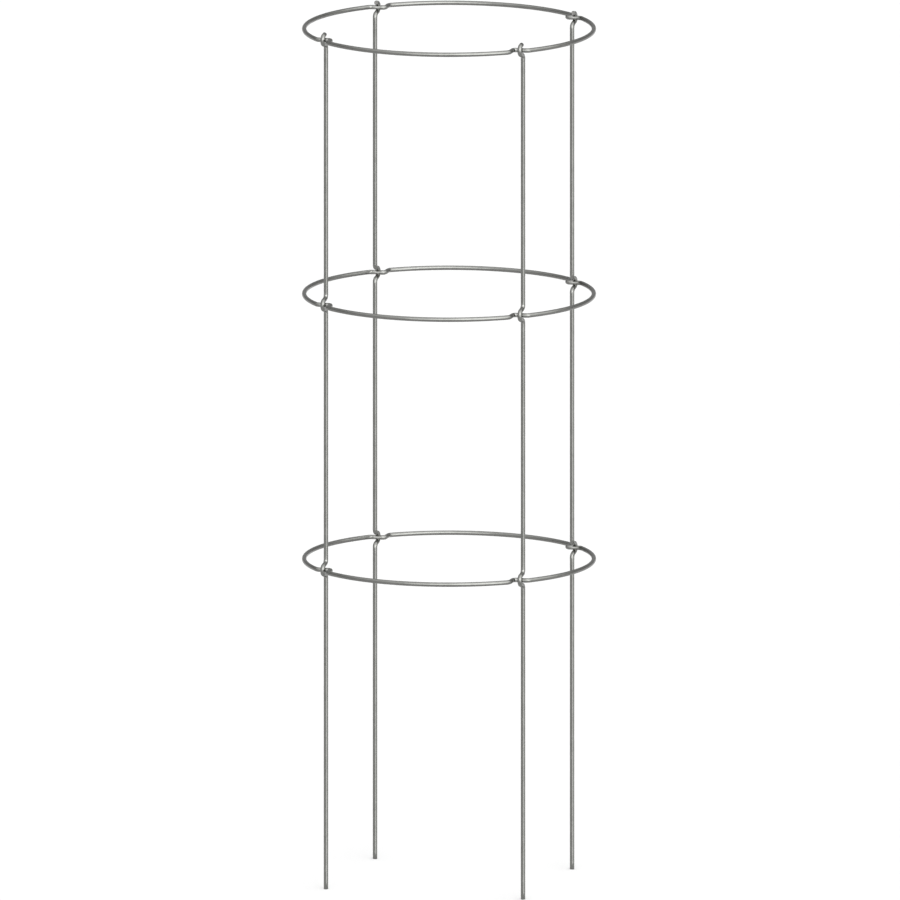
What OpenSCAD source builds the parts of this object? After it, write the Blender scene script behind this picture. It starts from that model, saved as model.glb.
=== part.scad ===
// Straight-sided folding tomato cage: three ring wires held in loops bent into four leg wires.
// Every loop turns on a stretch of ring that runs along X, so the front pair of legs swings
// against the back pair and the cage folds flat, its rings staying level with each other.
// Millimetres, +Z up, front towards -Y. The origin is on the cage axis at foot level.

/* [Wire] */
// Diameter of the round wire that every ring and leg is bent from
wire_d = 5.5; // [5:0.1:6]

/* [Rings] */
// Diameter of a ring on the centre line of its wire
ring_d = 355; // [320:1:400]
// Height from one ring to the next
ring_pitch = 330; // [250:1:360]
// Depth of the square V notch in a ring, measured at its sharp corner
notch_depth = 13.2; // [12.6:0.1:14.4]
// Centre-line radius of the bends where a ring turns into and out of a notch
notch_side_r = 7; // [6:0.1:8]
// Centre-line radius of the bend at the bottom of a notch
notch_root_r = 4.1; // [3.8:0.1:4.6]

/* [Legs] */
// Length of leg from its foot up to the bottom ring
stake_length = 399; // [300:1:450]
// Distance along the side of a notch from its sharp corner to the loop there
loop_set = 9.6; // [9:0.1:10.4]
// Distance from the straight of a leg out to the ring wire that its loops hold
loop_reach = 9.1; // [8.6:0.1:10.4]
// Angle at which the two runs of a loop spread apart towards the leg
loop_flare = 11; // [6:1:16]
// Centre-line radius of the bends where a leg turns into and out of a loop
loop_neck_r = 5; // [4.4:0.1:5.4]
// Distance from the straight of a leg to the cut end of its top hook
hook_setback = 5.6; // [4.6:0.1:6.6]

/* [Fit] */
// Clearance all round between a loop and the ring wire inside it
grip_gap = 0.08; // [0.05:0.01:0.2]
// Loss of wire diameter where it is drawn round a tight bend
bend_thinning = 0.02; // [0.01:0.01:0.06]
// Length by which full-size wire runs on into the start of a tight bend
bend_lead = 0.05; // [0.03:0.01:0.08]

/* [Hidden] */
$fn = 48;
quarter = 90;
ring_r = ring_d / 2;
ring_count = 3;
corner_count = 4;
// Both straight sides of a notch lie this far from the planes through the cage axis
notch_offset = (ring_r - notch_depth) / sqrt(2);
// Centre of the bend between the round of a ring and the side of a notch
side_bend_y = notch_offset - notch_side_r;
side_bend_x = sqrt(pow(ring_r - notch_side_r, 2) - pow(side_bend_y, 2));
round_half_angle = atan2(side_bend_y, side_bend_x);
notch_side_l = side_bend_x - notch_offset - notch_root_r;
// A leg stands beside one straight of each notch, on the inner side of the ring
leg_x = notch_offset + loop_set;
leg_y = notch_offset - loop_reach;
// A loop is a round head about the ring wire with a run from each end back to the leg
head_r = wire_d + grip_gap;
head_end_x = loop_reach + head_r * sin(loop_flare);
head_end_z = head_r * cos(loop_flare);
run_l = (head_end_x - loop_neck_r * (1 - sin(loop_flare))) / cos(loop_flare);
hook_run_l = (head_end_x - hook_setback) / cos(loop_flare);
neck_z = head_end_z + run_l * sin(loop_flare) + loop_neck_r * cos(loop_flare);
bottom_ring_z = stake_length;
middle_ring_z = bottom_ring_z + ring_pitch;
top_ring_z = middle_ring_z + ring_pitch;

// Wire of diameter d on an arc in the XY plane about the origin, through angle sweep from angle start
module wire_arc(d, radius, start, sweep) {
    rotate([0, 0, start])
        rotate_extrude(angle = sweep)
            translate([radius, 0])
                circle(d = d);
}

// Tight bend, where the wire is drawn a little thinner
module bend(radius, start, sweep) {
    wire_arc(wire_d - bend_thinning, radius, start, sweep);
}

// Straight wire from the origin along +X, with a lead into the bend at each end
module straight(length) {
    rotate([0, quarter, 0])
        translate([0, 0, -bend_lead])
            cylinder(d = wire_d, h = length + 2 * bend_lead);
}

// Long round between two notches of a ring, with a lead into the bend at each end
module ring_round() {
    half_angle = round_half_angle + bend_lead / ring_r * 180 / PI;
    wire_arc(wire_d, ring_r, -half_angle, 2 * half_angle);
}

// One side of the notch in the first quadrant, from the round of the ring to the notch root
module notch_side() {
    translate([side_bend_x, side_bend_y, 0])
        bend(notch_side_r, round_half_angle, quarter - round_half_angle);
    translate([notch_offset + notch_root_r, notch_offset, 0])
        straight(notch_side_l);
}

// Whole ring wire in the XY plane: four rounds joined by four notches
module ring_wire() {
    root_centre = notch_offset + notch_root_r;
    for (corner = [0 : corner_count - 1]) {
        rotate([0, 0, corner * quarter]) {
            ring_round();
            notch_side();
            mirror([1, -1, 0])
                notch_side();
            translate([root_centre, root_centre, 0])
                bend(notch_root_r, 2 * quarter, quarter);
        }
    }
}

// Lower half of a loop in the XZ plane: the neck bend and the run out to the head
module loop_half() {
    translate([loop_neck_r, 0, -neck_z])
        rotate([quarter, 0, 0])
            bend(loop_neck_r, quarter + loop_flare, quarter - loop_flare);
    translate([head_end_x, 0, -head_end_z])
        rotate([0, 2 * quarter - loop_flare, 0])
            straight(run_l);
}

// Round head of a loop, about the ring wire
module loop_head() {
    translate([loop_reach, 0, 0])
        rotate([quarter, 0, 0])
            bend(head_r, loop_flare - quarter, 2 * (quarter - loop_flare));
}

// Closed loop in a leg
module loop() {
    loop_half();
    loop_head();
    mirror([0, 0, 1])
        loop_half();
}

// Open hook at the top of a leg, cut off on its way back to the leg
module hook() {
    loop_half();
    loop_head();
    translate([head_end_x, 0, head_end_z])
        rotate([0, loop_flare - 2 * quarter, 0])
            straight(hook_run_l);
}

// Whole leg wire, standing on the origin with its loops towards +X
module leg_wire() {
    cylinder(d = wire_d, h = bottom_ring_z - neck_z + bend_lead);
    for (level = [0 : ring_count - 2]) {
        translate([0, 0, bottom_ring_z + level * ring_pitch]) {
            loop();
            translate([0, 0, neck_z])
                rotate([0, -quarter, 0])
                    straight(ring_pitch - 2 * neck_z);
        }
    }
    translate([0, 0, top_ring_z])
        hook();
}

module leg_front_left() {
    color("silver")
        translate([-leg_x, -leg_y, 0])
            rotate([0, 0, -quarter])
                leg_wire();
}

module leg_front_right() {
    color("silver")
        translate([leg_x, -leg_y, 0])
            rotate([0, 0, -quarter])
                leg_wire();
}

module leg_back_left() {
    color("silver")
        translate([-leg_x, leg_y, 0])
            rotate([0, 0, quarter])
                leg_wire();
}

module leg_back_right() {
    color("silver")
        translate([leg_x, leg_y, 0])
            rotate([0, 0, quarter])
                leg_wire();
}

module bottom_ring() {
    color("lightgray")
        translate([0, 0, bottom_ring_z])
            ring_wire();
}

module middle_ring() {
    color("lightgray")
        translate([0, 0, middle_ring_z])
            ring_wire();
}

module top_ring() {
    color("lightgray")
        translate([0, 0, top_ring_z])
            ring_wire();
}

leg_front_left();
leg_front_right();
leg_back_left();
leg_back_right();
bottom_ring();
middle_ring();
top_ring();
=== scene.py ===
"""Dresses the folding tomato cage: four galvanised leg wires and three ring wires in a white studio.

Each wire is swept along the route of its solid, with the slight flattening that cold bending leaves,
sheared ends, and a zinc finish that follows the wire. Metres, +Z up, front towards -Y.
"""

import logging
import math
from collections.abc import Mapping, Sequence
from dataclasses import dataclass, field
from enum import Enum
from typing import Union

import bpy
import numpy as np
from mathutils import Matrix, Vector


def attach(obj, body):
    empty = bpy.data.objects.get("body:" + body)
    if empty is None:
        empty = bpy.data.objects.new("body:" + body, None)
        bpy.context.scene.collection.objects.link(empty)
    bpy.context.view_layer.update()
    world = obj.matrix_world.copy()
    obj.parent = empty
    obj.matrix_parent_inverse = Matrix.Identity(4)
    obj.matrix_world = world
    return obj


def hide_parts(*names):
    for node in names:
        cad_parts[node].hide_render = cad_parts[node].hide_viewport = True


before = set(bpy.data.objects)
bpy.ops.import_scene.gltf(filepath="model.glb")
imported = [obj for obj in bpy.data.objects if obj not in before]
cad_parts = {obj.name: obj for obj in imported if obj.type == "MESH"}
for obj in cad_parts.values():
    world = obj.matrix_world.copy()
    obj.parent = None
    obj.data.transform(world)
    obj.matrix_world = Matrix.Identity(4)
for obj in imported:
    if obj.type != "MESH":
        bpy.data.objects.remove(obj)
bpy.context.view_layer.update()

LOG = logging.getLogger("tomato_cage")
MM = 0.001
QUARTER = math.pi / 2
NOISE_MIDDLE = 0.5
# The width of the photo, and the size that one of its pixels has at the cage.
PHOTO_PIXELS = 900
PIXEL = 1.2253 * MM
# The sockets of a Mix node share their names, so those for colours go by number.
MIX_SHARE, MIX_FIRST, MIX_SECOND, MIX_RESULT = 0, 6, 7, 2

Place = tuple[float, float, float]
Colour = tuple[float, float, float, float]


class Corner(Enum):
    """The four legs, each with its side along X and along Y and the body that it belongs to."""

    FRONT_LEFT = (-1, -1, "front_legs")
    FRONT_RIGHT = (1, -1, "front_legs")
    BACK_LEFT = (-1, 1, "back_legs")
    BACK_RIGHT = (1, 1, "back_legs")


class Level(Enum):
    """The three rings, counted up from the lowest."""

    BOTTOM = 0
    MIDDLE = 1
    TOP = 2


class Mark(Enum):
    """Mesh attributes that tell the finish what the making of the wire left on it."""

    LAY = "lay"
    STRETCH = "stretch"
    RUB = "rub"
    TIP = "tip"


@dataclass(frozen=True)
class CageSizes:
    """The sizes of the cage in metres and radians, with the ones that follow from them.

    Attributes:
        wire_r: radius of the wire.
        ring_r: radius of a ring on its wire's centre line.
        ring_pitch: height from one ring to the next.
        notch_depth: depth of a ring's notch at its sharp corner.
        notch_side_r: radius of the bends into and out of a notch.
        notch_root_r: radius of the bend at the bottom of a notch.
        stake_length: height of the bottom ring.
        loop_set: distance along a notch's side from its sharp corner to the loop.
        loop_reach: distance from a leg out to the ring wire in its loops.
        loop_flare: angle at which a loop's two runs spread.
        loop_neck_r: radius of the bends into and out of a loop.
        hook_setback: distance from a leg to the cut end of its hook.
        grip_gap: clearance between a loop and the ring wire in it.
        foot_clear: height of a leg's cut foot above its solid's.
    """

    wire_r: float = 2.75 * MM
    ring_r: float = 177.5 * MM
    ring_pitch: float = 330 * MM
    notch_depth: float = 13.2 * MM
    notch_side_r: float = 7 * MM
    notch_root_r: float = 4.1 * MM
    stake_length: float = 399 * MM
    loop_set: float = 9.6 * MM
    loop_reach: float = 9.1 * MM
    loop_flare: float = math.radians(11)
    loop_neck_r: float = 5 * MM
    hook_setback: float = 5.6 * MM
    grip_gap: float = 0.08 * MM
    foot_clear: float = 0.01 * MM

    @property
    def notch_offset(self) -> float:
        """Distance from the axis, along X and along Y, of a notch's straight sides."""
        return (self.ring_r - self.notch_depth) / math.sqrt(2)

    @property
    def side_bend(self) -> Vector:
        """Centre of the bend from a ring's round into a notch's side."""
        y = self.notch_offset - self.notch_side_r
        return Vector((math.sqrt((self.ring_r - self.notch_side_r) ** 2 - y**2), y))

    @property
    def round_half_angle(self) -> float:
        """Half of the angle that each round stretch of a ring spans."""
        return math.atan2(self.side_bend.y, self.side_bend.x)

    @property
    def notch_side_l(self) -> float:
        """Length of the straight wire on each side of a notch."""
        return self.side_bend.x - self.notch_offset - self.notch_root_r

    @property
    def leg_x(self) -> float:
        """Distance of the legs from the axis along X."""
        return self.notch_offset + self.loop_set

    @property
    def leg_y(self) -> float:
        """Distance of the legs from the axis along Y."""
        return self.notch_offset - self.loop_reach

    @property
    def head_r(self) -> float:
        """Radius of a loop round its ring, on the wire's centre line."""
        return 2 * self.wire_r + self.grip_gap

    @property
    def head_end(self) -> Vector:
        """Where a loop's round head meets its run, outwards from the leg and up from the ring."""
        sine, cosine = math.sin(self.loop_flare), math.cos(self.loop_flare)
        return Vector((self.loop_reach + self.head_r * sine, self.head_r * cosine))

    @property
    def run_l(self) -> float:
        """Length of the straight run between a loop's neck and its head."""
        neck_reach = self.loop_neck_r * (1 - math.sin(self.loop_flare))
        return (self.head_end.x - neck_reach) / math.cos(self.loop_flare)

    @property
    def hook_run_l(self) -> float:
        """Length of the run on which a leg's top hook ends."""
        return (self.head_end.x - self.hook_setback) / math.cos(self.loop_flare)

    @property
    def neck_z(self) -> float:
        """Height from a ring to where the leg leaves its axis."""
        rise = self.run_l * math.sin(self.loop_flare) + self.loop_neck_r * math.cos(self.loop_flare)
        return self.head_end.y + rise

    def ring_z(self, level: Level) -> float:
        """Height of a ring's wire."""
        return self.stake_length + level.value * self.ring_pitch


@dataclass(frozen=True)
class Station:
    """One cross-section of a wire, in the plane in which the wire is bent.

    Attributes:
        point: its centre.
        heading: the wire's direction there.
        along: the length of wire up to there.
        bend: the wire's curvature there, positive to the left.
    """

    point: Vector
    heading: float
    along: float
    bend: float


@dataclass
class Route:
    """Lays out a wire's centre line in its plane, as a bender does: feed a length, turn an angle.

    Attributes:
        point: where the wire is now, at first its start.
        heading: its direction there, anticlockwise from the plane's first axis.
        feed_step: the greatest length of a step on a straight.
        bend_step: the greatest angle of a step round a bend.
        chord: the greatest length of a step round a bend.
        along: the length of wire so far.
        stations: the cross-sections so far.
    """

    point: Vector
    heading: float
    feed_step: float = 8 * MM
    bend_step: float = math.radians(6)
    chord: float = 5 * MM
    along: float = 0.0
    stations: list[Station] = field(default_factory=list)

    def __post_init__(self) -> None:
        """Starts the list with the wire's end."""
        self._mark(0.0)

    def _mark(self, bend: float) -> None:
        """Adds a cross-section here, with the bend's curvature, positive to the left."""
        self.stations.append(Station(self.point.copy(), self.heading, self.along, bend))

    def feed(self, length: float) -> "Route":
        """Goes on straight.

        Args:
            length: how far.

        Returns:
            The same route, for the next step.
        """
        count = max(1, math.ceil(length / self.feed_step))
        step = length / count
        for _ in range(count):
            self.point = self.point + step * Vector((math.cos(self.heading), math.sin(self.heading)))
            self.along += step
            self._mark(0.0)
        return self

    def turn(self, radius: float, angle: float) -> "Route":
        """Bends round a radius by an angle.

        Args:
            radius: the bend's radius on the centre line.
            angle: how far it turns, positive to the left.

        Returns:
            The same route, for the next step.
        """
        side = math.copysign(1.0, angle)
        count = math.ceil(abs(angle) / min(self.bend_step, self.chord / radius))
        out = self.heading - side * QUARTER
        centre = self.point - radius * Vector((math.cos(out), math.sin(out)))
        from_heading, from_along = self.heading, self.along
        for step in range(1, count + 1):
            swept = angle * step / count
            self.point = centre + radius * Vector((math.cos(out + swept), math.sin(out + swept)))
            self.heading = from_heading + swept
            self.along = from_along + radius * abs(swept)
            self._mark(side / radius)
        return self


@dataclass(frozen=True)
class WirePlane:
    """Places a route's plane in the cage.

    Attributes:
        origin: where the route's own origin lies.
        across: the direction of its first axis.
        up: the direction of its second axis.
    """

    origin: Vector
    across: Vector
    up: Vector

    @property
    def normal(self) -> Vector:
        """The direction across the plane."""
        return self.across.cross(self.up)

    def place(self, flat: Vector) -> Vector:
        """A point of the route in the cage's own axes."""
        return self.origin + flat.x * self.across + flat.y * self.up

    def turn(self, flat: Vector) -> Vector:
        """A direction of the route in the cage's own axes."""
        return flat.x * self.across + flat.y * self.up


@dataclass
class Skin:
    """A wire's mesh in the making, with what the making leaves at each vertex.

    Attributes:
        points: the vertices.
        lay: each vertex's place on the straightened wire.
        stretch: how far the wire is stretched there, or squeezed where it is negative.
        tip: how near a cut end is, from 0 to 1.
        faces: the faces, as vertex numbers.
        face_lay: the straightened places of each face's corners.
    """

    points: list[Vector] = field(default_factory=list)
    lay: list[Place] = field(default_factory=list)
    stretch: list[float] = field(default_factory=list)
    tip: list[float] = field(default_factory=list)
    faces: list[list[int]] = field(default_factory=list)
    face_lay: list[list[Place]] = field(default_factory=list)

    def add_point(self, point: Vector, place: Place, stretch: float, tip: float) -> int:
        """Adds a vertex.

        Args:
            point: where it is in the cage.
            place: where it is on the straightened wire.
            stretch: how far the wire is stretched there.
            tip: how near a cut end is.

        Returns:
            The vertex's number.
        """
        self.points.append(point)
        self.lay.append(place)
        self.stretch.append(stretch)
        self.tip.append(tip)
        return len(self.points) - 1

    def add_face(self, face: list[int], places: list[Place] | None = None) -> None:
        """Adds a face.

        Args:
            face: its vertex numbers.
            places: its corners' straightened places, where they differ from those of its vertices.
        """
        self.faces.append(face)
        self.face_lay.append(places or [self.lay[index] for index in face])

    def make(self, name: str, smooth_angle: float) -> bpy.types.Object:
        """Turns the lists into an object.

        Args:
            name: the piece's name.
            smooth_angle: the widest angle between two faces that is shaded as a curve.

        Returns:
            The new object, linked to the scene, with its marks as mesh attributes.
        """
        mesh = bpy.data.meshes.new(name)
        mesh.from_pydata(self.points, [], self.faces)
        mesh.polygons.foreach_set("use_smooth", [True] * len(self.faces))
        mesh.set_sharp_from_angle(angle=smooth_angle)
        corner_lay = [value for places in self.face_lay for place in places for value in place]
        mesh.attributes.new(Mark.LAY.value, "FLOAT_VECTOR", "CORNER").data.foreach_set("vector", corner_lay)
        unworn = [0.0] * len(self.points)
        for mark, values in ((Mark.STRETCH, self.stretch), (Mark.TIP, self.tip), (Mark.RUB, unworn)):
            mesh.attributes.new(mark.value, "FLOAT", "POINT").data.foreach_set("value", values)
        mesh.update()
        wire = bpy.data.objects.new(name, mesh)
        bpy.context.scene.collection.objects.link(wire)
        return wire


@dataclass(frozen=True)
class WireTube:
    """Sweeps a round wire along a route.

    Attributes:
        route: the wire's centre line.
        plane: where that line's plane lies in the cage.
        radius: the wire's radius.
        closed: whether the last station meets the first.
        sides: the number of faces round the wire.
        flattening: the share of its thickness that the wire loses in the tightest bend.
        spread: the share of its width that it gains there.
        tightest: the radius of the tightest bend.
        ease: the length over which a bend's marks fade out.
        tip_reach: the length of wire that a cut end marks.
        shear_roll: how far the shears roll one edge of a cut end over.
        shear_burr: how far they round its whole edge.
        cap_rings: the rings of vertices on a cut end, as shares of the wire's radius.
        cap_tear: the depth of its torn middle.
        tear_waves: the number of waves of the tear round a ring.
        tear_lag: how far each ring's waves lag behind the last ring's.
        smooth_angle: the widest angle between two faces that is shaded as a curve.
    """

    route: Route
    plane: WirePlane
    radius: float
    closed: bool
    sides: int = 24
    flattening: float = 0.04
    spread: float = 0.015
    tightest: float = 4 * MM
    ease: float = 3 * MM
    tip_reach: float = 4 * MM
    shear_roll: float = 0.5 * MM
    shear_burr: float = 0.15 * MM
    cap_rings: Sequence[float] = (0.72, 0.42, 0.16)
    cap_tear: float = 0.06 * MM
    tear_waves: int = 3
    tear_lag: float = 2.0
    smooth_angle: float = math.radians(50)

    def build(self, name: str) -> bpy.types.Object:
        """Makes the wire's mesh.

        Args:
            name: the piece's name.

        Returns:
            The new object.
        """
        stations = self.route.stations
        total = stations[-1].along
        kept = stations[:-1] if self.closed else stations
        skin = Skin()
        for station, bend in zip(kept, self._eased_bends()):
            near_end = min(station.along, total - station.along)
            tip = 0.0 if self.closed else max(0.0, 1 - near_end / self.tip_reach)
            self._add_section(skin, station, float(bend), tip)
        self._join_sections(skin, len(kept), total)
        if not self.closed:
            last = (len(kept) - 1) * self.sides
            self._cap_end(skin, 0, stations[0], 1)
            self._cap_end(skin, last, stations[-1], -1)
        return skin.make(name, self.smooth_angle)

    def _eased_bends(self) -> np.ndarray:
        """Fades the curvature in and out over a short length.

        Returns:
            The curvature at each station, as a share of the tightest bend's.
        """
        along = np.array([s.along for s in self.route.stations])
        bend = np.array([s.bend for s in self.route.stations]) * self.tightest
        total = along[-1]
        eased = np.zeros_like(bend)
        for index, here in enumerate(along):
            gap = np.abs(along - here)
            if self.closed:
                gap = np.minimum(gap, total - gap)
            weight = np.clip(1 - gap / self.ease, 0, None)
            eased[index] = float((weight * bend).sum() / weight.sum())
        return np.clip(eased, -1, 1)

    def _add_section(self, skin: Skin, station: Station, bend: float, tip: float) -> None:
        """Adds one ring of vertices, a little flatter and wider where the wire is bent.

        Args:
            skin: the mesh so far.
            station: where the ring goes.
            bend: the curvature there as a share of the tightest bend.
            tip: how near a cut end is.
        """
        left = Vector((-math.sin(station.heading), math.cos(station.heading)))
        side, out = self.plane.turn(left), self.plane.normal
        centre = self.plane.place(station.point)
        in_plane = self.radius * (1 - self.flattening * abs(bend))
        across = self.radius * (1 + self.spread * abs(bend))
        for angle in np.linspace(0, 2 * math.pi, self.sides, endpoint=False):
            cosine, sine = math.cos(angle), math.sin(angle)
            point = centre + in_plane * cosine * side + across * sine * out
            place = (self.radius * cosine, self.radius * sine, station.along)
            skin.add_point(point, place, -bend * cosine, tip)

    def _join_sections(self, skin: Skin, count: int, total: float) -> None:
        """Joins neighbouring sections with quads.

        Args:
            skin: the mesh so far.
            count: how many sections there are.
            total: the wire's length, at which a closed wire's last quads end.
        """
        for row in range(count if self.closed else count - 1):
            ahead = (row + 1) % count
            for column in range(self.sides):
                beside = (column + 1) % self.sides
                face = [
                    row * self.sides + column,
                    ahead * self.sides + column,
                    ahead * self.sides + beside,
                    row * self.sides + beside,
                ]
                places = [skin.lay[index] for index in face]
                # The last quads of a closed wire end at its full length, not back at nothing.
                if ahead == 0:
                    places[1:3] = [(x, y, total) for x, y, _ in places[1:3]]
                skin.add_face(face, places)

    def _cap_end(self, skin: Skin, first: int, station: Station, sense: int) -> None:
        """Closes an end as shears leave it: one edge rolled over, a narrow burr, a torn middle.

        Args:
            skin: the mesh so far.
            first: the number of the end section's first vertex.
            station: the end of the wire.
            sense: 1 where the wire starts and -1 where it ends.
        """
        heading = Vector((math.cos(station.heading), math.sin(station.heading)))
        inwards = sense * self.plane.turn(heading)
        centre = self.plane.place(station.point)
        columns = range(self.sides)
        turns = [2 * math.pi * column / self.sides for column in columns]
        spokes = [skin.points[first + column] - centre for column in columns]
        edge = []
        for column, turn, spoke in zip(columns, turns, spokes):
            roll = self.shear_burr + self.shear_roll * ((1 + math.cos(turn)) / 2) ** 2
            skin.points[first + column] = centre + spoke + inwards * roll
            edge.append(centre + spoke * (1 - roll / self.radius))
        rings = [edge]
        for ring, share in enumerate(self.cap_rings, start=1):
            waves = [math.sin(self.tear_waves * turn + self.tear_lag * ring) for turn in turns]
            tears = [inwards * self.cap_tear * (1 + wave) for wave in waves]
            rings.append([centre + spoke * share + tear for spoke, tear in zip(spokes, tears)])
        loops = [list(range(first, first + self.sides))]
        for points in rings:
            places = [(*skin.lay[first + column][:2], station.along) for column in columns]
            loops.append([skin.add_point(*vertex, 0.0, 1.0) for vertex in zip(points, places)])
        hub = skin.add_point(centre + inwards * self.cap_tear, (0.0, 0.0, station.along), 0.0, 1.0)
        nexts = [(column + 1) % self.sides for column in columns]
        for outer, inner in zip(loops, loops[1:]):
            for column, beside in zip(columns, nexts):
                skin.add_face([outer[column], outer[beside], inner[beside], inner[column]][::sense])
        for column, beside in zip(columns, nexts):
            skin.add_face([loops[-1][column], loops[-1][beside], hub][::sense])


@dataclass(frozen=True)
class Grain:
    """A cloudy pattern on the straightened wire.

    Attributes:
        across: the size of its spots across the wire.
        along: their size along the wire.
        detail: how many finer layers it has.
        roughness: how strong those layers are.
    """

    across: float
    along: float
    detail: float
    roughness: float


@dataclass(frozen=True)
class Fade:
    """How something comes into view as a value rises.

    Attributes:
        low: the value at which it starts.
        high: the value at which it is full.
        share: how much of it shows then.
    """

    low: float
    high: float
    share: float = 1.0


Feed = Union["Value", float, Sequence[float]]


class Value:
    """A number that varies over a surface: a socket on which sums can be written.

    Args:
        graph: the node tree that the socket is in.
        socket: the output that carries the number, or None for a node without outputs.
    """

    def __init__(self, graph: "Graph", socket: bpy.types.NodeSocket | None) -> None:
        """Keeps the socket and its tree."""
        self.graph = graph
        self.socket = socket

    def beside(self, output: str) -> "Value":
        """Another output of the same node."""
        return Value(self.graph, self.socket.node.outputs[output])

    def _sum(self, operation: str, first: Feed, second: Feed) -> "Value":
        """Adds one Math node."""
        return self.graph.node("ShaderNodeMath", {"operation": operation}, {0: first, 1: second})

    def __add__(self, other: Feed) -> "Value":
        """This plus another value."""
        return self._sum("ADD", self, other)

    __radd__ = __add__

    def __sub__(self, other: Feed) -> "Value":
        """This less another value."""
        return self._sum("SUBTRACT", self, other)

    def __rsub__(self, other: Feed) -> "Value":
        """Another value less this."""
        return self._sum("SUBTRACT", other, self)

    def __mul__(self, other: Feed) -> "Value":
        """This times another value."""
        return self._sum("MULTIPLY", self, other)

    __rmul__ = __mul__


class Graph:
    """Adds nodes to one tree.

    Args:
        tree: an empty node tree.
    """

    def __init__(self, tree: bpy.types.NodeTree) -> None:
        """Clears the tree and keeps it."""
        self.tree = tree
        tree.nodes.clear()

    def node(
        self,
        kind: str,
        settings: Mapping[str, object] | None = None,
        inputs: Mapping[str | int, Feed] | None = None,
        output: str | int = 0,
    ) -> Value:
        """Adds a node.

        Args:
            kind: the node's type.
            settings: its own properties, set before its sockets.
            inputs: values or links for its sockets.
            output: the socket that is handed back.

        Returns:
            That output, ready for further sums.
        """
        made = self.tree.nodes.new(kind)
        for name, setting in (settings or {}).items():
            setattr(made, name, setting)
        for name, feed in (inputs or {}).items():
            self._feed(made.inputs[name], feed)
        return Value(self, made.outputs[output] if made.outputs else None)

    def _feed(self, socket: bpy.types.NodeSocket, feed: Feed) -> None:
        """Links or sets one input.

        Args:
            socket: the input.
            feed: the value that it is linked to, or the number or vector that it is set to.
        """
        if isinstance(feed, Value):
            self.tree.links.new(feed.socket, socket)
        else:
            socket.default_value = feed

    def mark(self, mark: Mark) -> Value:
        """A number that the mesh carries."""
        return self.node("ShaderNodeAttribute", {"attribute_name": mark.value}, output="Fac")

    def straightened(self, across: float, along: float) -> Value:
        """Finds places on the straightened wire.

        Args:
            across: the length that counts as 1 across the wire.
            along: the length that counts as 1 along it.

        Returns:
            The places, counted in those lengths.
        """
        lay = self.node("ShaderNodeAttribute", {"attribute_name": Mark.LAY.value}, output="Vector")
        counts = (1 / across, 1 / across, 1 / along)
        return self.node("ShaderNodeVectorMath", {"operation": "MULTIPLY"}, {0: lay, 1: counts})

    def noise(self, grain: Grain) -> Value:
        """Covers the straightened wire with smooth noise.

        Args:
            grain: the sizes and the fineness of its spots.

        Returns:
            The noise, between about 0 and 1.
        """
        places = self.straightened(grain.across, grain.along)
        return self.node(
            "ShaderNodeTexNoise",
            {"noise_dimensions": "3D"},
            {"Vector": places, "Scale": 1.0, "Detail": grain.detail, "Roughness": grain.roughness},
            "Fac",
        )

    def cells(self, across: float, along: float) -> Value:
        """Covers the straightened wire with cells.

        Args:
            across: the size of a cell across the wire.
            along: its size along the wire.

        Returns:
            A number between 0 and 1 for each cell.
        """
        places = self.straightened(across, along)
        inputs = {"Vector": places, "Scale": 1.0}
        colour = self.node("ShaderNodeTexVoronoi", {"feature": "F1"}, inputs, "Color")
        return self.node("ShaderNodeSeparateColor", None, {"Color": colour}, "Red")

    def fade(self, value: Value, fade: Fade) -> Value:
        """Makes a smooth step.

        Args:
            value: what rises.
            fade: the limits of the step and its height.

        Returns:
            A value between 0 and the step's height.
        """
        return self.node(
            "ShaderNodeMapRange",
            {"interpolation_type": "SMOOTHSTEP", "clamp": True},
            {"Value": value, "From Min": fade.low, "From Max": fade.high, "To Max": fade.share},
        )

    def dot(self, first: Feed, second: Feed) -> Value:
        """How far one vector reaches along another."""
        return self.node("ShaderNodeVectorMath", {"operation": "DOT_PRODUCT"}, {0: first, 1: second}, "Value")

    def blend(self, share: Value, first: Feed, second: Feed) -> Value:
        """A colour between two others."""
        inputs = {MIX_SHARE: share, MIX_FIRST: first, MIX_SECOND: second}
        return self.node("ShaderNodeMix", {"data_type": "RGBA"}, inputs, MIX_RESULT)


def paint(red: float, green: float, blue: float) -> Colour:
    """A socket's colour from three linear shares."""
    return (red, green, blue, 1.0)


@dataclass(frozen=True)
class WireMarks:
    """What shows on a wire's surface, each as a value between about 0 and 1.

    Attributes:
        clouds: faint clouds in the zinc.
        lines: lines that drawing left along the wire.
        flower: a number for each flower of the zinc.
        grit: fine grit.
        outside: the stretched outside of the bends.
        inside: their squeezed inside.
        rub: where loops and rings bear on each other.
        bare: the bare steel of the cut ends.
    """

    clouds: Value
    lines: Value
    flower: Value
    grit: Value
    outside: Value
    inside: Value
    rub: Value
    bare: Value


@dataclass(frozen=True)
class Shares:
    """How much each of a wire's marks, by its own name, counts in a sum."""

    clouds: float
    lines: float
    flower: float
    outside: float
    bare: float
    inside: float = 0.0
    rub: float = 0.0


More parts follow.
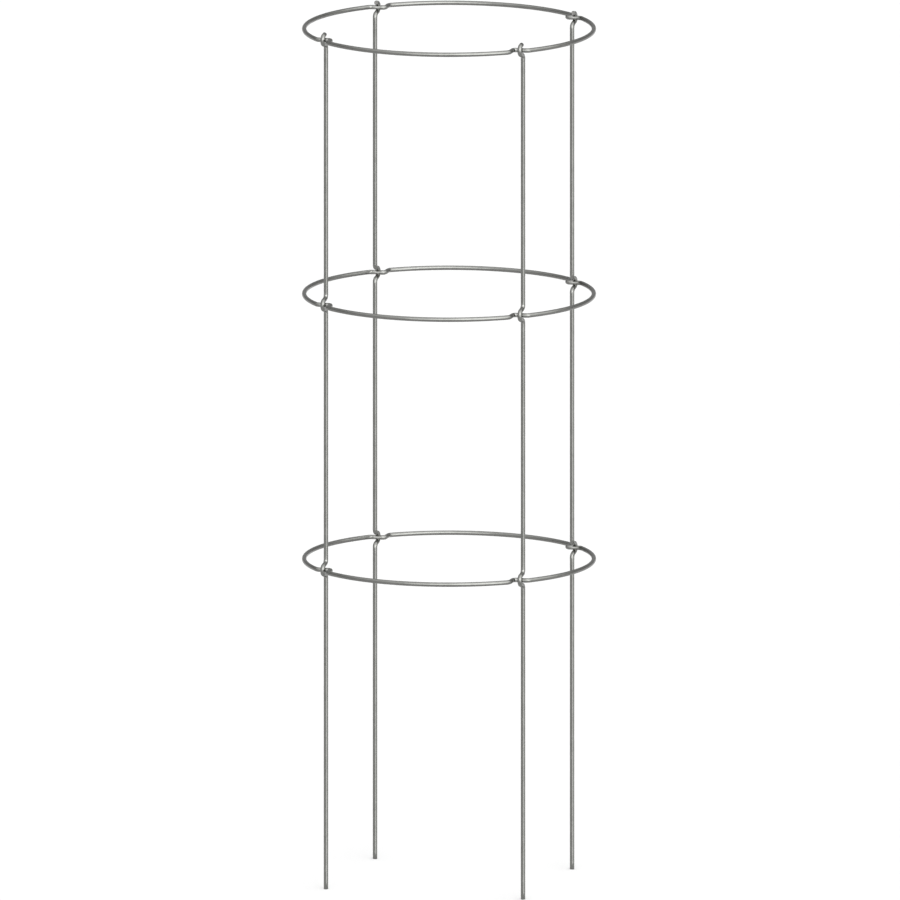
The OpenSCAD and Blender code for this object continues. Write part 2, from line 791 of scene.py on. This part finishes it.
@dataclass(frozen=True)
class ZincSkin:
    """Satin galvanised wire: zinc flowers, faint clouds, drawing lines and bend marks, with painted light: a
    much lighter zinc where loops and rings touch and inside the bends, partly burnish and partly painted
    light that lifts the shade there.

    Attributes:
        name: what the finish is called.
        zinc: the plain zinc.
        cloud: the darker clouds and drawing lines.
        flower: the lighter flowers.
        crazed: the cracked zinc outside the bends.
        burnish_and_painted_light: the worn zinc of the bearings and inside the bends, made lighter still as
            painted light against the shade where the wires meet.
        steel: the cut ends.
        clouds: the pattern of the clouds.
        lines: the pattern of the drawing lines.
        grit: the pattern of the grit.
        flower_across: the size of a flower across the wire.
        flower_along: its size along the wire.
        cloud_fade: how the clouds come into view.
        flower_fade: how the flowers do.
        line_fade: how the drawing lines do.
        outside_fade: how the outside of a bend does.
        inside_fade: how its inside does.
        crack_fade: how the cracks outside it do.
        bare_fade: how the bare steel does.
        bare_grit: how far grit makes the edge of the bare steel ragged.
        inside_burnish_and_light: how far the inside of a bend takes that pale zinc, as burnish and painted
            light.
        rub_burnish_and_light: how far a bearing takes it, as burnish and painted light.
        roughness: the roughness of plain zinc.
        rougher: what the marks add to the roughness.
        higher: what the marks add to the height of the surface.
        relief: how strongly that height shows.
        relief_depth: the height that counts as 1.
    """

    name: str
    zinc: Colour = paint(0.25, 0.252, 0.24)
    cloud: Colour = paint(0.216, 0.218, 0.207)
    flower: Colour = paint(0.273, 0.275, 0.263)
    crazed: Colour = paint(0.302, 0.304, 0.292)
    # Partly worn zinc, partly painted light: far paler than the zinc, it lifts the shade where loops and
    # rings touch.
    burnish_and_painted_light: Colour = paint(0.46, 0.46, 0.445)
    steel: Colour = paint(0.185, 0.183, 0.176)
    clouds: Grain = Grain(30 * MM, 18 * MM, 3.0, 0.55)
    lines: Grain = Grain(0.22 * MM, 45 * MM, 2.0, 0.6)
    grit: Grain = Grain(0.4 * MM, 0.6 * MM, 2.0, 0.5)
    flower_across: float = 2.2 * MM
    flower_along: float = 3.6667 * MM
    cloud_fade: Fade = Fade(0.35, 0.7)
    flower_fade: Fade = Fade(0.25, 0.95, 0.4)
    line_fade: Fade = Fade(0.45, 0.75, 0.3)
    outside_fade: Fade = Fade(0.15, 0.9)
    inside_fade: Fade = Fade(0.25, 0.9)
    crack_fade: Fade = Fade(0.3, 0.7, 0.7)
    bare_fade: Fade = Fade(0.95, 1.15)
    bare_grit: float = 0.25
    # Painted light and burnish: how far the insides of bends and the bearings take the pale zinc.
    inside_burnish_and_light: float = 0.4
    rub_burnish_and_light: float = 0.8
    roughness: float = 0.24
    rougher: Shares = Shares(
        clouds=0.06, lines=0.06, flower=0.05, outside=0.05, bare=0.12, inside=-0.03, rub=-0.04
    )
    higher: Shares = Shares(clouds=0.1, lines=0.4, flower=0.08, outside=0.4, bare=0.5)
    relief: float = 0.4
    relief_depth: float = 0.02 * MM

    def make(self) -> bpy.types.Material:
        """Builds the finish.

        Returns:
            The new material.
        """
        material = bpy.data.materials.new(self.name)
        material.use_nodes = True
        graph = Graph(material.node_tree)
        marks = self._marks(graph)
        bump = graph.node(
            "ShaderNodeBump",
            None,
            {"Strength": self.relief, "Distance": self.relief_depth, "Height": self._height(marks)},
        )
        surface = graph.node(
            "ShaderNodeBsdfPrincipled",
            None,
            {
                "Base Color": self._colour(graph, marks),
                "Metallic": 1.0,
                "Roughness": self._roughness(marks),
                "Normal": bump,
            },
        )
        graph.node("ShaderNodeOutputMaterial", None, {"Surface": surface})
        return material

    def _marks(self, graph: Graph) -> WireMarks:
        """Finds everything that shows on the wire.

        Args:
            graph: the finish's node tree.

        Returns:
            The marks.
        """
        grit = graph.noise(self.grit)
        stretch = graph.mark(Mark.STRETCH)
        return WireMarks(
            clouds=graph.noise(self.clouds),
            lines=graph.noise(self.lines),
            flower=graph.cells(self.flower_across, self.flower_along),
            grit=grit,
            outside=graph.fade(stretch, self.outside_fade),
            inside=graph.fade(0 - stretch, self.inside_fade),
            rub=graph.mark(Mark.RUB),
            bare=graph.fade(graph.mark(Mark.TIP) + self.bare_grit * grit, self.bare_fade),
        )

    def _colour(self, graph: Graph, marks: WireMarks) -> Value:
        """Lays the colours of the marks over each other, with painted light at the bearings and inside the
        bends.

        Args:
            graph: the finish's node tree.
            marks: what shows on the wire.

        Returns:
            The colour.
        """
        colour = graph.blend(graph.fade(marks.clouds, self.cloud_fade), self.zinc, self.cloud)
        colour = graph.blend(graph.fade(marks.flower, self.flower_fade), colour, self.flower)
        colour = graph.blend(graph.fade(marks.lines, self.line_fade), colour, self.cloud)
        colour = graph.blend(marks.outside * graph.fade(marks.grit, self.crack_fade), colour, self.crazed)
        # Painted light: bearings and bend insides are lightened towards a pale zinc, partly burnish and
        # partly to lift the shade where the wires meet.
        burnish_and_light_share = self.inside_burnish_and_light * marks.inside + self.rub_burnish_and_light * marks.rub
        colour = graph.blend(burnish_and_light_share, colour, self.burnish_and_painted_light)
        return graph.blend(marks.bare, colour, self.steel)

    def _roughness(self, marks: WireMarks) -> Value:
        """Makes the roughness a little uneven, and changes it at bends, bearings and cuts.

        Args:
            marks: what shows on the wire.

        Returns:
            The roughness.
        """
        shares = self.rougher
        uneven = shares.clouds * (marks.clouds - NOISE_MIDDLE) + shares.flower * (marks.flower - NOISE_MIDDLE)
        uneven = uneven + shares.lines * (marks.lines - NOISE_MIDDLE)
        worked = shares.outside * marks.outside + shares.inside * marks.inside
        return self.roughness + uneven + worked + shares.rub * marks.rub + shares.bare * marks.bare

    def _height(self, marks: WireMarks) -> Value:
        """Raises the marks a little, with grit where the zinc is cracked and the steel is cut.

        Args:
            marks: what shows on the wire.

        Returns:
            The height of the surface.
        """
        shares = self.higher
        smooth = shares.lines * marks.lines + shares.flower * marks.flower + shares.clouds * marks.clouds
        return smooth + (shares.outside * marks.outside + shares.bare * marks.bare) * marks.grit


@dataclass(frozen=True)
class LegWire:
    """One leg: a stake that is bent into a loop round each ring and an open hook on the top one.

    Attributes:
        sizes: the sizes of the cage.
        corner: where the leg stands.
        bearing_reach: how far a ring rubs round its bearing, as a share of the wire's radius.
    """

    sizes: CageSizes
    corner: Corner
    bearing_reach: float = 0.9

    @property
    def node(self) -> str:
        """The name of the leg's solid."""
        return f"leg_{self.corner.name.lower()}"

    def route(self) -> Route:
        """Bends the leg from its foot upwards, with its loops outwards.

        Returns:
            The leg's centre line.
        """
        sizes = self.sizes
        neck = QUARTER - sizes.loop_flare
        head = 2 * neck
        route = Route(Vector((0.0, sizes.foot_clear)), QUARTER)
        straight = sizes.stake_length - sizes.neck_z - sizes.foot_clear
        for level in Level:
            route.feed(straight).turn(sizes.loop_neck_r, -neck).feed(sizes.run_l).turn(sizes.head_r, head)
            if level is Level.TOP:
                route.feed(sizes.hook_run_l)
            else:
                route.feed(sizes.run_l).turn(sizes.loop_neck_r, -neck)
            straight = sizes.ring_pitch - 2 * sizes.neck_z
        return route

    def build(self) -> bpy.types.Object:
        """Makes the leg and marks where its loops bear on the rings.

        Returns:
            The leg's wire.
        """
        sizes = self.sizes
        side_x, side_y, _ = self.corner.value
        plane = WirePlane(
            Vector((side_x * sizes.leg_x, side_y * sizes.leg_y, 0.0)),
            Vector((0.0, side_y, 0.0)),
            Vector((0.0, 0.0, 1.0)),
        )
        name = f"{self.corner.name.lower()}_leg_wire"
        wire = WireTube(self.route(), plane, sizes.wire_r, closed=False).build(name)
        self._mark_bearings(wire)
        return wire

    def _mark_bearings(self, wire: bpy.types.Object) -> None:
        """Marks the inside of each loop, where the ring turns in it.

        Args:
            wire: the leg's wire.
        """
        sizes = self.sizes
        side_y = self.corner.value[1]
        rub = wire.data.attributes[Mark.RUB.value].data
        for vertex, mark in zip(wire.data.vertices, rub):
            for level in Level:
                out = abs(vertex.co.y * side_y - sizes.notch_offset)
                away = math.hypot(out, vertex.co.z - sizes.ring_z(level)) - sizes.wire_r
                mark.value = max(mark.value, 1 - abs(away) / (self.bearing_reach * sizes.wire_r))

    def dress(self, wire: bpy.types.Object, finish: bpy.types.Material) -> None:
        """Gives the wire its finish and ties it to the cage.

        Args:
            wire: the piece.
            finish: its material.
        """
        wire.data.materials.append(finish)
        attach(wire, self.corner.value[2])
        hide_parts(self.node)


@dataclass(frozen=True)
class RingWire:
    """One ring: a round wire with a square notch at each corner for a leg's loop.

    Attributes:
        sizes: the sizes of the cage.
        level: which ring it is.
        bearing_half: half the length that a loop rubs, as a share of the wire's radius.
        bearing_band: how far from the gripped side's line that counts, as a share of the wire's radius.
    """

    sizes: CageSizes
    level: Level
    bearing_half: float = 1.4
    bearing_band: float = 1.2

    @property
    def node(self) -> str:
        """The name of the ring's solid."""
        return f"{self.level.name.lower()}_ring"

    def route(self) -> Route:
        """Bends the ring anticlockwise from its right side.

        Returns:
            The ring's centre line.
        """
        sizes = self.sizes
        half = sizes.round_half_angle
        route = Route(Vector((sizes.ring_r, 0.0)), QUARTER)
        for _ in Corner:
            route.turn(sizes.ring_r, half).turn(sizes.notch_side_r, QUARTER - half)
            route.feed(sizes.notch_side_l).turn(sizes.notch_root_r, -QUARTER).feed(sizes.notch_side_l)
            route.turn(sizes.notch_side_r, QUARTER - half).turn(sizes.ring_r, half)
        return route

    def build(self) -> bpy.types.Object:
        """Makes the ring and marks where the legs' loops bear on it.

        Returns:
            The ring's wire.
        """
        plane = WirePlane(
            Vector((0.0, 0.0, self.sizes.ring_z(self.level))),
            Vector((1.0, 0.0, 0.0)),
            Vector((0.0, 1.0, 0.0)),
        )
        wire = WireTube(self.route(), plane, self.sizes.wire_r, closed=True).build(f"{self.node}_wire")
        self._mark_bearings(wire)
        return wire

    def _mark_bearings(self, wire: bpy.types.Object) -> None:
        """Marks the wire under each loop.

        Args:
            wire: the ring's wire.
        """
        sizes = self.sizes
        rub = wire.data.attributes[Mark.RUB.value].data
        for vertex, mark in zip(wire.data.vertices, rub):
            beside = abs(abs(vertex.co.x) - sizes.leg_x) / (self.bearing_half * sizes.wire_r)
            off_line = abs(abs(vertex.co.y) - sizes.notch_offset) / sizes.wire_r
            mark.value = max(0.0, 1 - beside**2) if off_line < self.bearing_band else 0.0

    def dress(self, wire: bpy.types.Object, finish: bpy.types.Material) -> None:
        """Gives the wire its finish and ties it to the cage.

        Args:
            wire: the piece.
            finish: its material.
        """
        wire.data.materials.append(finish)
        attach(wire, self.node)
        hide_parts(self.node)


@dataclass(frozen=True)
class SoftLight:
    """A broad studio light, far enough away to reach the whole cage alike.

    Attributes:
        name: what the light is called.
        azimuth: degrees to the right of the camera.
        elevation: degrees above the floor.
        level: what it adds to a white surface that faces it.
        spread: the angle that it fills, in degrees.
    """

    name: str
    azimuth: float
    elevation: float
    level: float
    spread: float


@dataclass(frozen=True)
class MirroredFloor:
    """A glowing plane that the metal mirrors as the white floor, with a painted pool of light: brighter on
    the right and most of all to the front right, which paints the light stripe on the legs.

    Attributes:
        half: half of its width.
        depth: its distance below the feet, which lets a leg mirror it alike from its foot to its hook.
        level: its brightness where nothing is added.
        right: the painted light added on its right side.
        front_right: the painted light added where its right side and its front overlap.
        right_azimuth: where its right side lies, in degrees to the right of the camera.
        front_azimuth: where its front lies, in degrees to the right of the camera.
        edge: how a side comes into view with distance from the axis.
    """

    half: float = 2000.0
    depth: float = 10.0
    level: float = 0.735
    right: float = 0.1
    front_right: float = 2.1
    right_azimuth: float = 96.0
    front_azimuth: float = -30.0
    edge: Fade = Fade(4.4, 23.6)


@dataclass(frozen=True)
class Studio:
    """The white floor, the soft light and the camera.

    Attributes:
        view_azimuth: where the camera stands, in degrees to the right of the cage's front.
        view_elevation: its height above the floor in degrees.
        frame_width: the width of the picture.
        aim_right: how far it aims to the right of the cage's axis.
        aim_height: how high it aims.
        camera_distance: how far away it stands.
        floor_half: half of the floor's width.
        floor_drop: the floor's distance below the feet, which keeps the two surfaces apart.
        floor_white: the floor's colour.
        floor_fill: what makes the lit floor white to the lens.
        room_azimuth: where the room is brightest, in degrees to the right of the camera.
        room_elevation: the height of that place in degrees.
        room_dim: the room's brightness on its far side.
        room_bright: its brightness where it is brightest.
        room_edge: how the room brightens as a direction turns towards that place.
        mirrored: the glowing plane that the metal mirrors as the floor, with its painted pool of light.
        lights: the soft lights.
    """

    view_azimuth: float = 16.3
    view_elevation: float = 10.34
    frame_width: float = PHOTO_PIXELS * PIXEL
    aim_right: float = 1.2 * MM
    aim_height: float = 534.4 * MM
    camera_distance: float = 4.0
    floor_half: float = 40.0
    floor_drop: float = 0.1 * MM
    floor_white: Colour = paint(0.55, 0.55, 0.55)
    floor_fill: float = 0.247
    room_azimuth: float = 10.0
    room_elevation: float = 60.0
    room_dim: float = 0.45
    room_bright: float = 1.68
    room_edge: Fade = Fade(-0.1, 0.9)
    mirrored: MirroredFloor = MirroredFloor()
    lights: Sequence[SoftLight] = (
        SoftLight("key_light", 7.4, 10.0, 0.66, 81.0),
        SoftLight("side_light", 53.7, 37.8, 0.36, 88.0),
    )

    def _towards(self, azimuth: float, elevation: float) -> Vector:
        """Points to a place round the cage.

        Args:
            azimuth: where it is, in degrees to the right of the camera.
            elevation: its height above the floor in degrees.

        Returns:
            The direction, of length 1.
        """
        turn, rise = math.radians(self.view_azimuth + azimuth), math.radians(elevation)
        level = math.cos(rise)
        return Vector((math.sin(turn) * level, -math.cos(turn) * level, math.sin(rise)))

    def build(self) -> None:
        """Sets up the floor, the lights and the camera."""
        self._lay_floor()
        self._lay_mirrored_floor()
        self._light_room()
        for light in self.lights:
            self._hang(light)
        self._set_camera()
        bpy.context.scene.view_settings.view_transform = "Standard"

    @staticmethod
    def _lay_plane(name: str, half: float, depth: float) -> tuple[bpy.types.Object, Graph]:
        """Adds a level square below the cage.

        Args:
            name: what the square and its material are called.
            half: half of its width.
            depth: its distance below the feet.

        Returns:
            The square, and the empty graph of its material.
        """
        mesh = bpy.data.meshes.new(name)
        corners = [(-half, -half), (half, -half), (half, half), (-half, half)]
        mesh.from_pydata([(x, y, -depth) for x, y in corners], [], [(0, 1, 2, 3)])
        material = bpy.data.materials.new(name)
        material.use_nodes = True
        mesh.materials.append(material)
        square = bpy.data.objects.new(name, mesh)
        bpy.context.scene.collection.objects.link(square)
        return square, Graph(material.node_tree)

    def _lay_floor(self) -> None:
        """Lays a wide floor that takes the cage's shadow, shows white and lets mirrored rays through."""
        _, graph = self._lay_plane("studio_floor", self.floor_half, self.floor_drop)
        seen = graph.node("ShaderNodeLightPath", output="Is Camera Ray")
        mirrored = seen.beside("Is Glossy Ray") + seen.beside("Is Transmission Ray")
        matt = graph.node("ShaderNodeBsdfDiffuse", None, {"Color": self.floor_white})
        fill = graph.node("ShaderNodeEmission", None, {"Strength": self.floor_fill * seen})
        white = graph.node("ShaderNodeAddShader", None, {0: matt, 1: fill})
        clear = graph.node("ShaderNodeBsdfTransparent")
        surface = graph.node("ShaderNodeMixShader", None, {0: mirrored, 1: white, 2: clear})
        graph.node("ShaderNodeOutputMaterial", None, {"Surface": surface})

    def _lay_mirrored_floor(self) -> None:
        """Lays a glowing plane for the metal to mirror, where no other ray meets it: the floor's white level
        with a painted pool of light to the right and front right.
        """
        mirrored = self.mirrored
        square, graph = self._lay_plane("mirrored_floor_painted_pool", mirrored.half, mirrored.depth)
        place = graph.node("ShaderNodeNewGeometry", output="Position")
        right, front = (
            graph.fade(graph.dot(place, self._towards(azimuth, 0.0)), mirrored.edge)
            for azimuth in (mirrored.right_azimuth, mirrored.front_azimuth)
        )
        # Painted pool of light: the glow rises on the right and most of all to the front right.
        level = mirrored.level + right * (mirrored.right + mirrored.front_right * front)
        light = graph.node("ShaderNodeEmission", None, {"Strength": level})
        graph.node("ShaderNodeOutputMaterial", None, {"Surface": light})
        square.active_material.cycles.emission_sampling = "NONE"
        square.visible_camera = square.visible_diffuse = square.visible_shadow = False

    def _light_room(self) -> None:
        """Lights a soft room, bright overhead and towards the camera and dim behind the cage."""
        world = bpy.data.worlds.new("studio_room")
        world.use_nodes = True
        graph = Graph(world.node_tree)
        direction = graph.node("ShaderNodeTexCoord", output="Generated")
        bright = self._towards(self.room_azimuth, self.room_elevation)
        facing = graph.fade(graph.dot(direction, bright), self.room_edge)
        level = self.room_dim + (self.room_bright - self.room_dim) * facing
        light = graph.node("ShaderNodeBackground", None, {"Strength": level})
        graph.node("ShaderNodeOutputWorld", None, {"Surface": light})
        bpy.context.scene.world = world

    def _hang(self, light: SoftLight) -> None:
        """Adds one soft light.

        Args:
            light: where it hangs and how bright and broad it is.
        """
        lamp = bpy.data.lights.new(light.name, "SUN")
        lamp.energy = math.pi * light.level
        lamp.angle = math.radians(light.spread)
        holder = bpy.data.objects.new(light.name, lamp)
        bpy.context.scene.collection.objects.link(holder)
        source = self._towards(light.azimuth, light.elevation)
        holder.rotation_mode = "QUATERNION"
        holder.rotation_quaternion = source.to_track_quat("Z", "Y")
        holder.location = self.camera_distance * source

    def _set_camera(self) -> None:
        """Sets up a parallel camera, because the photo shows no perspective."""
        back = self._towards(0.0, self.view_elevation)
        right = Vector((0.0, 0.0, 1.0)).cross(back).normalized()
        up = back.cross(right)
        aim = Vector((0.0, 0.0, self.aim_height)) + self.aim_right * right
        data = bpy.data.cameras.new("photo_camera")
        data.type = "ORTHO"
        data.ortho_scale = self.frame_width
        camera = bpy.data.objects.new("photo_camera", data)
        bpy.context.scene.collection.objects.link(camera)
        axes = Matrix((right, up, back)).transposed().to_4x4()
        camera.matrix_world = Matrix.Translation(aim + self.camera_distance * back) @ axes
        bpy.context.scene.camera = camera


def main() -> None:
    logging.basicConfig(level=logging.INFO, format="%(message)s")
    sizes = CageSizes()
    leg_finish = ZincSkin("galvanised_leg_wire").make()
    ring_finish = ZincSkin("galvanised_ring_wire").make()
    for corner in Corner:
        leg = LegWire(sizes, corner)
        wire = leg.build()
        leg.dress(wire, leg_finish)
        LOG.info("%s: %d faces", wire.name, len(wire.data.polygons))
    for level in Level:
        ring = RingWire(sizes, level)
        wire = ring.build()
        ring.dress(wire, ring_finish)
        LOG.info("%s: %d faces", wire.name, len(wire.data.polygons))
    Studio().build()


if __name__ == "__main__":
    main()
